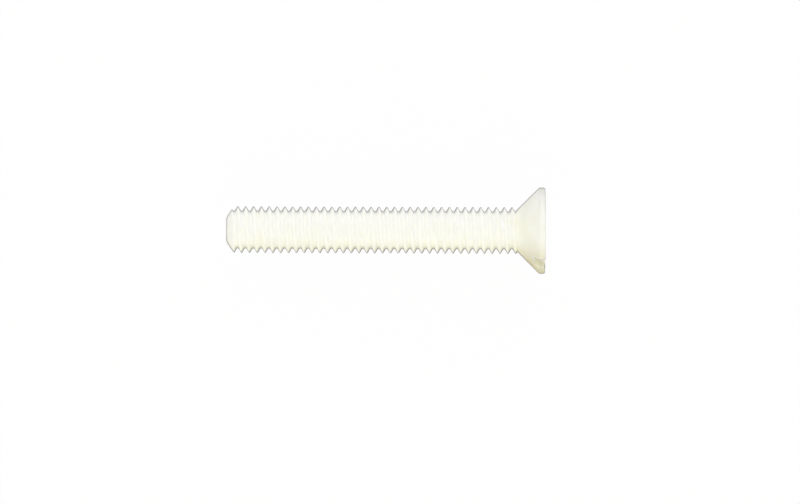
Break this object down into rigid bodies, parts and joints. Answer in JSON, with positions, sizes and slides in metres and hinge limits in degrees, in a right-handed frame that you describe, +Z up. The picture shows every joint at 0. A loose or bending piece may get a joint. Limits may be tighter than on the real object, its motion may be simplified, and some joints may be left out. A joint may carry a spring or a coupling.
{
  "type": "machine screw",
  "caption": "Natural nylon machine screw with a slotted countersunk head and a metric thread along its whole shank.",
  "frame": {"origin": "on the surface that the screw lies on, under the middle of its box", "axes": "+X along the screw towards its head, +Y across it, +Z up"},
  "size_m": [0.041, 0.011, 0.011],
  "materials": {
    "nylon": "natural moulded nylon, milky and slightly yellow, semi-gloss"
  },
  "bodies": {
    "root": {"screw": "nylon"}
  },
  "joints": []
}
